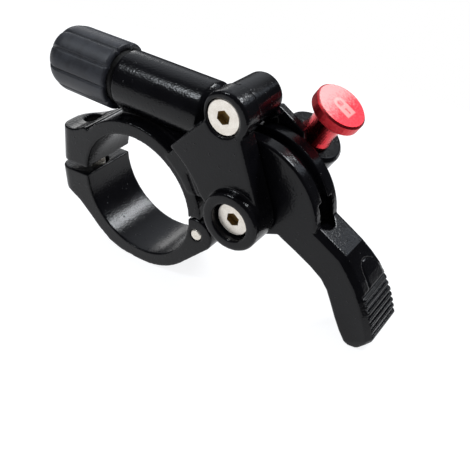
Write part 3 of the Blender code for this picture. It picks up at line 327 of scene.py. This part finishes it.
class Round:
    """A turned face of a casting: its axis, where it starts and ends on it, and both radii."""

    def __init__(self, base, direction, start, end, radius, end_radius=None):
        self.base = np.array(base)
        self.direction = np.array(Vector(direction).normalized())
        self.start = start * MM
        self.end = end * MM
        self.radius = radius * MM
        self.end_radius = (end_radius if end_radius is not None else radius) * MM

    def true_up(self, points, normals):
        """Move the points that lie near this face, and look out of it, onto it."""
        along = (points - self.base) @ self.direction
        spokes = points - self.base - np.outer(along, self.direction)
        length = np.maximum(np.linalg.norm(spokes, axis=1), 1e-9)
        spokes /= length[:, None]
        share = np.clip((along - self.start) / (self.end - self.start), 0.0, 1.0)
        radius = self.radius + (self.end_radius - self.radius) * share
        square = np.abs(np.einsum("ij,ij->i", spokes, normals)) > FACES_OUT
        close = np.abs(length - radius) < TRUE_REACH * MM
        near = square & close & (along > self.start) & (along < self.end)
        points[near] += spokes[near] * (radius - length)[near, None]


class Score:
    """A straight groove in the near face of a casting, from one point to another."""

    def __init__(self, start, end, width, depth):
        self.start = np.array(start)
        self.way = np.array((Vector(end) - Vector(start)).normalized())
        self.length = (Vector(end) - Vector(start)).length
        self.half = width / 2 * MM
        self.depth = depth * MM

    def sink(self, points, normals):
        """Press the points of the near face that lie on the groove, deepest on its middle line."""
        from_start = points - self.start
        along = from_start @ self.way
        side = np.linalg.norm((from_start - np.outer(along, self.way))[:, (0, 2)], axis=1)
        ends = np.clip(np.minimum(along, self.length - along) / self.half, 0.0, 1.0)
        near = (side < self.half) & (normals[:, 1] < FACES_NEAR)
        near &= np.abs(from_start[:, 1]) < SCORE_REACH * MM
        points[near, 1] += (self.depth * ends * (1.0 - (side / self.half) ** 2))[near]


def cast(name, node, voxel_mm, smooth, rounds, score=None, web=None):
    """Copy of a CAD casting with blunt edges: remeshed finely, its round faces trued, smoothed.
    A web between two corners joins it first, and a score is sunk into it last."""
    piece = plain_copy(name, node)
    if web:
        low, high = web
        joined = bmesh.new()
        joined.from_mesh(piece.data)
        box = Matrix.Translation((low + high) / 2) @ Matrix.Diagonal((*(high - low), 1.0))
        bmesh.ops.create_cube(joined, size=1.0, matrix=box)
        joined.to_mesh(piece.data)
        joined.free()
    remesh = piece.modifiers.new("fine", "REMESH")
    remesh.mode = "VOXEL"
    remesh.voxel_size = voxel_mm * MM
    settle(piece)
    for repeats in (smooth, 0):
        count = len(piece.data.vertices)
        points = np.empty(count * 3)
        normals = np.empty(count * 3)
        piece.data.vertices.foreach_get("co", points)
        piece.data.vertices.foreach_get("normal", normals)
        points = points.reshape(-1, 3)
        for face in rounds:
            face.true_up(points, normals.reshape(-1, 3))
        if score and not repeats:
            score.sink(points, normals.reshape(-1, 3))
        piece.data.vertices.foreach_set("co", points.ravel())
        piece.data.update()
        if repeats:
            step = piece.modifiers.new("blunt", "SMOOTH")
            step.factor = 0.5
            step.iterations = repeats
            settle(piece)
    thin = piece.modifiers.new("thin", "DECIMATE")
    thin.ratio = KEPT_SHARE
    settle(piece)
    piece.data.shade_smooth()
    return piece


PAINT_COLOUR = (0.0022, 0.0022, 0.0030)
PAINT_WORN = (0.0042, 0.0042, 0.0056)
PAINT_ROUGH = 0.15
PAINT_IOR = 1.32
HAZE_MM = 6.0
NIB_MM, NIB_EDGE, NIB_HEIGHT = 0.62, 0.79, 0.016
WAVE_MM, WAVE_DEPTH = 2.6, 0.018


def black_paint(name, shift=0.0, peel_mm=0.30, peel_depth_mm=0.030):
    """Thick gloss black paint with waves, orange peel, a few dust nibs and faint handling haze."""
    paint = Finish(name)
    haze = paint.grain(HAZE_MM, 3.0, 0.6, shift=shift)
    nibs = paint.grain(NIB_MM, 0.0, 0.5, shift=shift + 7.0).over(NIB_EDGE, 0.04)
    paint.surface(Base_Color=paint.mix(haze.over(0.5, 0.5), PAINT_COLOUR, PAINT_WORN),
                  Roughness=PAINT_ROUGH + haze * 0.09 + nibs * 0.1)
    paint.shader.inputs["IOR"].default_value = PAINT_IOR
    paint.relief(paint.grain(WAVE_MM, 1.0, 0.5, shift=shift + 3.0), WAVE_DEPTH)
    paint.relief(paint.grain(peel_mm, 1.0, 0.5, shift=shift), peel_depth_mm)
    paint.relief(nibs, NIB_HEIGHT)
    return paint


AXIS_Y = (0.0, 1.0, 0.0)
BORE_R, RING_R = 11.1, 13.5
TUBE_LEAN = math.radians(4.57)
TUBE_DIR = (math.cos(TUBE_LEAN), 0.0, -math.sin(TUBE_LEAN))
TUBE_MOUTH = place(-4.1, 5.4, 17.7 + math.tan(TUBE_LEAN) * 4.1)
TUBE_R, TUBE_LENGTH = 4.8, 17.9
EYE_X, EYE_Z, EYE_R = 19.9, 20.8, 3.7
PIVOT_X, PIVOT_Z, BOSS_R = 21.4, 4.9, 4.8
EYE_NEAR_Y, BOSS_NEAR_Y, PLATE_FAR_Y = -2.0, -3.5, 1.6
SEAM_TOP, SEAM_FOOT = place(11.35, 0, 8.53), place(15.47, 0, -1.03)
ring_rounds = [Round(BAR, AXIS_Y, 0.0, CLAMP_WIDTH, radius) for radius in (BORE_R, RING_R)]
body_rounds = ring_rounds + [
    Round(TUBE_MOUTH, TUBE_DIR, 0.0, TUBE_LENGTH, TUBE_R),
    Round(place(EYE_X, 0, EYE_Z), AXIS_Y, EYE_NEAR_Y, PLATE_FAR_Y, EYE_R),
    Round(place(PIVOT_X, 0, PIVOT_Z), AXIS_Y, BOSS_NEAR_Y, PLATE_FAR_Y, BOSS_R),
]
plate_seam = Score(SEAM_TOP, SEAM_FOOT, width=0.62, depth=0.36)
body = cast("clamp_casting", "clamp_body", voxel_mm=0.19, smooth=8, rounds=body_rounds,
            score=plate_seam)
body_paint = black_paint("clamp_paint")
body.data.materials.append(body_paint.material)
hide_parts("clamp_body")
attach(body, "clamp")


# Clamp strap
# The ring's lower half, cast and painted like the body. It swings on the hinge pin, and the clamp
# screw draws its ear to the ear of the body.
HINGE_R = 3.0
strap_rounds = ring_rounds + [Round(place(HINGE_X, 0, HINGE_Z), AXIS_Y, 0.0, CLAMP_WIDTH, HINGE_R)]
strap = cast("strap_casting", "clamp_strap", voxel_mm=0.17, smooth=9, rounds=strap_rounds)
strap.data.materials.append(black_paint("strap_paint", shift=11.0).material)
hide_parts("clamp_strap")
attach(strap, "strap")


# Lever
# Cast of the same alloy with its cable sector, arm and thumb paddle in one, and painted black.
# It turns on the bushing of the lower screw, and the cable lies in its sector's groove.
SECTOR_NEAR_Y, SECTOR_FAR_Y = 2.0, 8.6
SECTOR_R, GROOVE_R = 11.6, 10.1
lever_rounds = [Round(place(PIVOT_X, 0, PIVOT_Z), AXIS_Y, SECTOR_NEAR_Y, SECTOR_FAR_Y, radius)
                for radius in (SECTOR_R, GROOVE_R)]
lever = cast("lever_casting", "lever", voxel_mm=0.14, smooth=3, rounds=lever_rounds)
lever_paint = black_paint("lever_paint", shift=23.0, peel_mm=0.36, peel_depth_mm=0.024)
lever.data.materials.append(lever_paint.material)
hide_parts("lever")
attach(lever, "lever")


# Release arm
# A small painted casting that turns on the upper screw: a long hub, the arm behind the sector and
# the button's collar. A web closes the corner between the hub and the arm.
RELEASE_X, RELEASE_Z = 19.45, 20.5
HUB_NEAR_Y, HUB_FAR_Y = 1.9, 8.5
HUB_NEAR_R, HUB_FAR_R = 3.5, 3.25
hub = Round(place(RELEASE_X, 0, RELEASE_Z), AXIS_Y, HUB_NEAR_Y, HUB_FAR_Y, HUB_NEAR_R, HUB_FAR_R)
web_corners = (place(18.9, 9.05, 15.3), place(22.9, 10.1, 17.7))
arm = cast("release_casting", "release_arm", voxel_mm=0.13, smooth=3, rounds=[hub],
           web=web_corners)
release_paint = black_paint("release_paint", shift=31.0, peel_mm=0.5, peel_depth_mm=0.018)
arm.data.materials.append(release_paint.material)
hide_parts("release_arm")
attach(arm, "release")


# Screws, nut, washers and pins
# Plated steel, cold headed or turned. The heads of the two pivot screws are finely pitted and
# their hexagon sockets have the brown of old plating.
STEEL_COLOUR = (0.98, 0.93, 0.85)
STEEL_SHADE = (0.82, 0.76, 0.67)
SOCKET_COLOUR = (0.34, 0.225, 0.085)
SOCKET_R = 1.28
SOCKET_DEPTH = 3.0
CLOUD_MM, PIT_MM, PIT_DEPTH = 0.9, 0.16, 0.010
HEAD_ROUGH, STEEL_ROUGH = 0.26, 0.20


def plated_steel(name, light, dark, roughness, socket=None):
    """Plated or drawn metal, mottled; a socket is the centre of a screw's face, along Y."""
    steel = Finish(name)
    cloud = steel.grain(CLOUD_MM, 3.0, 0.65)
    pits = steel.grain(PIT_MM, 1.0, 0.6)
    colour = steel.mix((cloud * 0.5 + pits * 0.5).over(0.5, 0.36), light, dark)
    if socket is not None:
        deep, side, high = steel.spot(socket, AXIS_Y, (1, 0, 0), (0, 0, 1))
        inside = ((side * side + high * high) ** 0.5).under(SOCKET_R, 0.06)
        inside = inside * deep.over(0.1, 0.1) * deep.under(SOCKET_DEPTH, 0.4)
        colour = steel.mix(inside, colour, SOCKET_COLOUR)
    steel.surface(Base_Color=colour, Metallic=0.75, Roughness=roughness + cloud * 0.14)
    steel.relief(pits, PIT_DEPTH)
    return steel.material


def wear(node, material):
    """Give a CAD piece its finish."""
    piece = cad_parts[node]
    piece.data.materials.clear()
    piece.data.materials.append(material)


wear("release_screw", plated_steel("upper_screw_steel", STEEL_COLOUR, STEEL_SHADE, HEAD_ROUGH,
                                   place(RELEASE_X, -1.6, RELEASE_Z)))
wear("pivot_screw", plated_steel("lower_screw_steel", STEEL_COLOUR, STEEL_SHADE, HEAD_ROUGH,
                                 place(PIVOT_X, -2.2, PIVOT_Z)))
for node in ("hinge_pin", "clamp_screw", "clamp_washer", "pivot_washer", "pivot_nut",
             "release_sleeve_nut", "release_washer", "button_pin"):
    wear(node, plated_steel(node + "_steel", STEEL_COLOUR, STEEL_SHADE, STEEL_ROUGH))


# Springs, bushing and barrel
# The springs of lever and release arm are wound from drawn wire. The bushing on which the lever
# turns is sintered bronze, and the barrel that screws into the cable tube is turned from brass.
WIRE = ((0.42, 0.42, 0.43), (0.28, 0.28, 0.29), 0.24)
BRONZE = ((0.62, 0.44, 0.22), (0.48, 0.33, 0.16), 0.34)
BRASS = ((0.68, 0.50, 0.26), (0.55, 0.40, 0.20), 0.28)
for node in ("return_spring", "release_spring"):
    wear(node, plated_steel(node + "_wire", *WIRE))
wear("pivot_bushing", plated_steel("bushing_bronze", *BRONZE))
wear("adjuster_barrel", plated_steel("barrel_brass", *BRASS))


# Threads
# The barrel's fine thread, seen when it is screwed out of the tube, and the clamp screw's thread,
# seen in the slot between the ears. Both are rolled on their cores.
class Net:
    """A geometry node tree in the making; its maths is that of a material."""

    def __init__(self, name, **inputs):
        self.tree = bpy.data.node_groups.new(name, "GeometryNodeTree")
        face = self.tree.interface
        face.new_socket("Geometry", in_out="INPUT", socket_type="NodeSocketGeometry")
        face.new_socket("Geometry", in_out="OUTPUT", socket_type="NodeSocketGeometry")
        for label in inputs:
            face.new_socket(label, in_out="INPUT", socket_type="NodeSocketFloat")
        self.values = inputs
        self.given = self.tree.nodes.new("NodeGroupInput")
        self.result = self.tree.nodes.new("NodeGroupOutput")

    node = Finish.node
    feed = Finish.feed

    def input(self, label):
        return Value(self, self.given.outputs[label])

    def end(self, geometry, material):
        """Instances made real and the finish given, as the last two steps."""
        real = self.node("GeometryNodeRealizeInstances", {}, {"Geometry": geometry})
        done = self.node("GeometryNodeSetMaterial", {}, {"Geometry": real, "Material": material})
        self.feed(self.result.inputs["Geometry"], done)

    def apply(self, piece):
        """Run the tree on a piece and keep the plain mesh."""
        step = piece.modifiers.new(self.tree.name, "NODES")
        step.node_group = self.tree
        for socket in self.tree.interface.items_tree:
            if socket.in_out == "INPUT" and socket.name in self.values:
                step[socket.identifier] = self.values[socket.name]
        settle(piece)


TURN_STEPS = 40
RIDGE_SEAT, RIDGE_SIZE = 0.25, 0.66


def rolled_thread(name, start, direction, core, height, pitch, length, material):
    """A three-sided ridge wound round a core, in millimetres, from a start along a direction."""
    net = Net(name + "_net", Core=core * MM, Height=height * MM, Pitch=pitch * MM,
              Length=length * MM)
    turns = net.input("Length") / net.input("Pitch")
    radius = net.input("Core") + net.input("Height") * RIDGE_SEAT
    spiral = net.node("GeometryNodeCurveSpiral", {},
                      {"Resolution": TURN_STEPS, "Rotations": turns, "Start Radius": radius,
                       "End Radius": radius, "Height": net.input("Length")})
    ridge = net.node("GeometryNodeCurvePrimitiveCircle", {"mode": "RADIUS"},
                     {"Resolution": 3, "Radius": net.input("Height") * RIDGE_SIZE})
    swept = net.node("GeometryNodeCurveToMesh", {}, {"Curve": spiral, "Profile Curve": ridge,
                                                     "Fill Caps": True})
    net.end(swept, material)
    piece = bpy.data.objects.new(name, bpy.data.meshes.new(name))
    bpy.context.scene.collection.objects.link(piece)
    net.apply(piece)
    upright = Vector(direction).to_track_quat("Z", "Y").to_matrix().to_4x4()
    piece.data.transform(Matrix.Translation(start) @ upright)
    return piece


barrel_start = TUBE_MOUTH + Vector(TUBE_DIR) * 0.4 * MM
thread_brass = plated_steel("thread_brass", (0.66, 0.48, 0.25), (0.52, 0.38, 0.19), 0.28)
barrel_thread = rolled_thread("barrel_thread", barrel_start, TUBE_DIR, core=2.66, height=0.14,
                              pitch=0.8, length=8.2, material=thread_brass)
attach(barrel_thread, "barrel")
screw_start = place(-13.4, 5.2, -2.2)
thread_steel = plated_steel("thread_steel", STEEL_COLOUR, STEEL_SHADE, 0.24)
screw_thread = rolled_thread("clamp_screw_thread", screw_start, (0, 0, 1), core=1.06, height=0.28,
                             pitch=0.5, length=3.5, material=thread_steel)
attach(screw_thread, "strap")


# Adjuster knob and its ring
# The knob is turned and milled with ten narrow grooves, then coated satin blue-black. A rubber
# ring behind its skirt seals the tube's mouth.
KNOB_R = 5.5
KNOB_LENGTH = 13.4
KNOB_STANDOFF = 0.9
KNOB_DOME = 3.5
KNOB_BORE = 2.82
KNOB_BORE_EDGE = 0.2
KNOB_SKIRT = 4.46
KNOB_SKIRT_DEPTH = 2.4
KNOB_RIM = 0.42
KNOB_SIDES = 240
KNOB_TURN = math.radians(33.187344)
GROOVE_COUNT = 10
GROOVE_DEPTH = 0.30
GROOVE_WIDTH = 0.62
GROOVE_PHASE = math.radians(-40.0)
FACET_CROWN = 0.10
GROOVE_START, GROOVE_FULL = 0.86, 1.02
KNOB_BLACK, KNOB_BLUE = (0.015, 0.016, 0.021), (0.028, 0.031, 0.040)
knob_base = TUBE_MOUTH - Vector(TUBE_DIR) * KNOB_STANDOFF * MM
knob_out = -Vector(TUBE_DIR)
knob_up = Vector((math.sin(TUBE_LEAN), 0.0, math.cos(TUBE_LEAN)))
knob_front = knob_up * math.sin(KNOB_TURN) - Vector(AXIS_Y) * math.cos(KNOB_TURN)
knob_outline = [(KNOB_BORE, KNOB_SKIRT_DEPTH), (KNOB_SKIRT, KNOB_SKIRT_DEPTH), (KNOB_SKIRT, 0.0)]
for step in range(7):
    turn = math.radians(15 * step)
    knob_outline.append((KNOB_R - KNOB_RIM * (1 - math.sin(turn)), KNOB_RIM * (1 - math.cos(turn))))
for step in range(1, 10):
    knob_outline.append((KNOB_R, KNOB_RIM + (KNOB_LENGTH - KNOB_DOME - KNOB_RIM) * step / 10))
for step in range(16):
    turn = math.radians(5 * step)
    knob_outline.append((KNOB_R - KNOB_DOME * (1 - math.cos(turn)),
                         KNOB_LENGTH - KNOB_DOME * (1 - math.sin(turn))))
knob_outline += [(KNOB_BORE + KNOB_BORE_EDGE, KNOB_LENGTH),
                 (KNOB_BORE, KNOB_LENGTH - KNOB_BORE_EDGE)]
shape = bmesh.new()
rings = []
for radius, along in knob_outline:
    rings.append([shape.verts.new((along * MM, radius * MM * math.cos(math.tau * side / KNOB_SIDES),
                                   radius * MM * math.sin(math.tau * side / KNOB_SIDES)))
                  for side in range(KNOB_SIDES)])
for low, high in zip(rings, rings[1:] + rings[:1]):
    for side in range(KNOB_SIDES):
        after = (side + 1) % KNOB_SIDES
        shape.faces.new((low[side], low[after], high[after], high[side]))
bmesh.ops.recalc_face_normals(shape, faces=shape.faces)
knob_mesh = bpy.data.meshes.new("knob_shell")
shape.to_mesh(knob_mesh)
shape.free()
knob = bpy.data.objects.new("knob_shell", knob_mesh)
bpy.context.scene.collection.objects.link(knob)

knob_finish = Finish("knob_satin")
knob_cloud = knob_finish.grain(1.6, 4.0, 0.65)
knob_speck = knob_finish.grain(0.12, 1.0, 0.7)
knob_colour = knob_finish.mix(knob_cloud.over(0.5, 0.4), KNOB_BLACK, KNOB_BLUE)
knob_finish.surface(Base_Color=knob_colour, Roughness=0.42 + knob_cloud * 0.14)
knob_finish.relief(knob_speck, 0.008)

milled = Net("milled_grooves", Count=float(GROOVE_COUNT), Depth=GROOVE_DEPTH * MM,
             Width=GROOVE_WIDTH * MM, Phase=GROOVE_PHASE, Outside=KNOB_SKIRT * MM)
here = milled.node("GeometryNodeInputPosition")
along, side, high = [milled.node("ShaderNodeSeparateXYZ", {}, {0: here}, axis) for axis in range(3)]
radius = (side * side + high * high) ** 0.5
angle = milled.node("ShaderNodeMath", {"operation": "ARCTAN2"}, {0: high, 1: side})
share = (angle - milled.input("Phase")) * milled.input("Count") / math.tau
off = abs(share - milled.node("ShaderNodeMath", {"operation": "ROUND"}, {0: share}))
from_groove = off * math.tau / milled.input("Count") * radius
notch = milled.node("ShaderNodeMapRange", {"interpolation_type": "SMOOTHSTEP", "clamp": True},
                    {"Value": from_groove, "From Min": 0.0, "From Max": milled.input("Width") / 2,
                     "To Min": 1.0, "To Max": 0.0})
outer = milled.node("ShaderNodeMapRange", {"clamp": True},
                    {"Value": radius, "From Min": milled.input("Outside") * GROOVE_START,
                     "From Max": milled.input("Outside") * GROOVE_FULL})
crown = (0.5 - off) * (0.5 - off) * 4.0 * FACET_CROWN * MM
scale = 1.0 - (notch * milled.input("Depth") + crown) * outer / radius
moved = milled.node("ShaderNodeCombineXYZ", {}, {0: along, 1: side * scale, 2: high * scale})
milled.end(milled.node("GeometryNodeSetPosition", {}, {"Geometry": milled.input("Geometry"),
                                                       "Position": moved}), knob_finish.material)
milled.apply(knob)
knob_down = knob_front.cross(knob_out)
basis = Matrix((knob_out, knob_front, knob_down)).transposed()
knob.data.flip_normals()
knob.data.transform(Matrix.Translation(knob_base) @ basis.to_4x4())
knob.data.shade_smooth()
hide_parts("adjuster_knob")
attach(knob, "knob")

# Both rubber colours are much darker than black rubber: painted shade of the gap between knob and
# tube, with dust patches between the two.
RUBBER_PAINTED_SHADE, RUBBER_DUST_AND_SHADE = (0.0015, 0.0015, 0.0015), (0.004, 0.004, 0.004)
ring_finish = Finish("ring_rubber")
ring_cloud = ring_finish.grain(0.8, 2.0, 0.5)
ring_colour = ring_finish.mix(ring_cloud, RUBBER_PAINTED_SHADE, RUBBER_DUST_AND_SHADE)
ring_finish.surface(Base_Color=ring_colour, Roughness=0.55 + ring_cloud * 0.15)
wear("adjuster_o_ring", ring_finish.material)


# Release button
# Turned from aluminium and anodised red over a fine blast. Its face is painted paler towards the
# upper edge as a painted sheen, and a small pale padlock is printed on it.
BUTTON_LEAN = math.radians(34.0)
BUTTON_SEAT = place(25.67, 13.15, 13.15)
BUTTON_HEIGHT = 7.65
HEAD_DEPTH = 2.3
RED, RED_LIGHT = (0.68, 0.018, 0.030), (0.76, 0.050, 0.065)
# The paler pink of the painted sheen on the face, and how much of it is mixed in.
PAINTED_SHEEN, PAINTED_SHEEN_SHARE = (0.72, 0.40, 0.38), 0.55
PRINT, PRINT_SHARE = (0.50, 0.36, 0.33), 0.5
LOCK_HALF, LOCK_HALF_WIDTH = 1.0, 1.12
BOW_AT, BOW_R, BOW_HALF = -0.35, 0.86, 0.26
KEYHOLE_AT, KEYHOLE_R = 0.8, 0.24
SLIT_AT, SLIT_HALF, SLIT_HALF_WIDTH = 1.25, 0.42, 0.15
button_out = Vector((math.sin(BUTTON_LEAN), 0.0, math.cos(BUTTON_LEAN)))
button_down = Vector((math.cos(BUTTON_LEAN), 0.0, -math.sin(BUTTON_LEAN)))
button_face = BUTTON_SEAT + button_out * BUTTON_HEIGHT * MM
button_finish = Finish("button_red")
along, side, high = button_finish.spot(button_face, button_down, AXIS_Y, button_out)
mottle = button_finish.grain(0.42, 3.0, 0.7)
blast = button_finish.grain(0.11, 1.0, 0.6)
face = high.over(-0.12, 0.1)


def greater(first, second):
    """The greater of two values."""
    return button_finish.node("ShaderNodeMath", {"operation": "MAXIMUM"}, {0: first, 1: second})


def from_centre(centre):
    """Distance from a place on the mark's middle line."""
    return ((along - centre) * (along - centre) + side * side) ** 0.5


block = greater(abs(along - LOCK_HALF) - LOCK_HALF, abs(side) - LOCK_HALF_WIDTH).under(0.0, 0.3)
bow = abs(from_centre(BOW_AT) - BOW_R).under(BOW_HALF, 0.3)
keyhole = from_centre(KEYHOLE_AT).under(KEYHOLE_R, 0.1)
slit = abs(side).under(SLIT_HALF_WIDTH, 0.1) * abs(along - SLIT_AT).under(SLIT_HALF, 0.1)
mark = greater(block, bow) * (1.0 - greater(keyhole, slit) * 0.8) * face
# Painted sheen: the face is coloured paler towards its upper edge, in place of the light's reflection
# there.
painted_sheen = ((along * -0.21 + mottle * 1.1 - 0.30) * face).over(0.35, 0.9) * face
red = button_finish.mix(mottle.over(0.5, 0.5), RED, RED_LIGHT)
red = button_finish.mix(painted_sheen * PAINTED_SHEEN_SHARE, red, PAINTED_SHEEN)
red = button_finish.mix(mark * PRINT_SHARE, red, PRINT)
button_finish.surface(Base_Color=red, Metallic=1.0,
                      Roughness=0.14 + high.over(-HEAD_DEPTH, 0.3) * 0.22 + mottle * 0.20)
button_finish.shader.inputs["Coat Weight"].default_value = 0.2
button_finish.shader.inputs["Coat Roughness"].default_value = 0.25
button_finish.relief(mottle, 0.02)
button_finish.relief(blast, 0.006)
wear("release_button", button_finish.material)
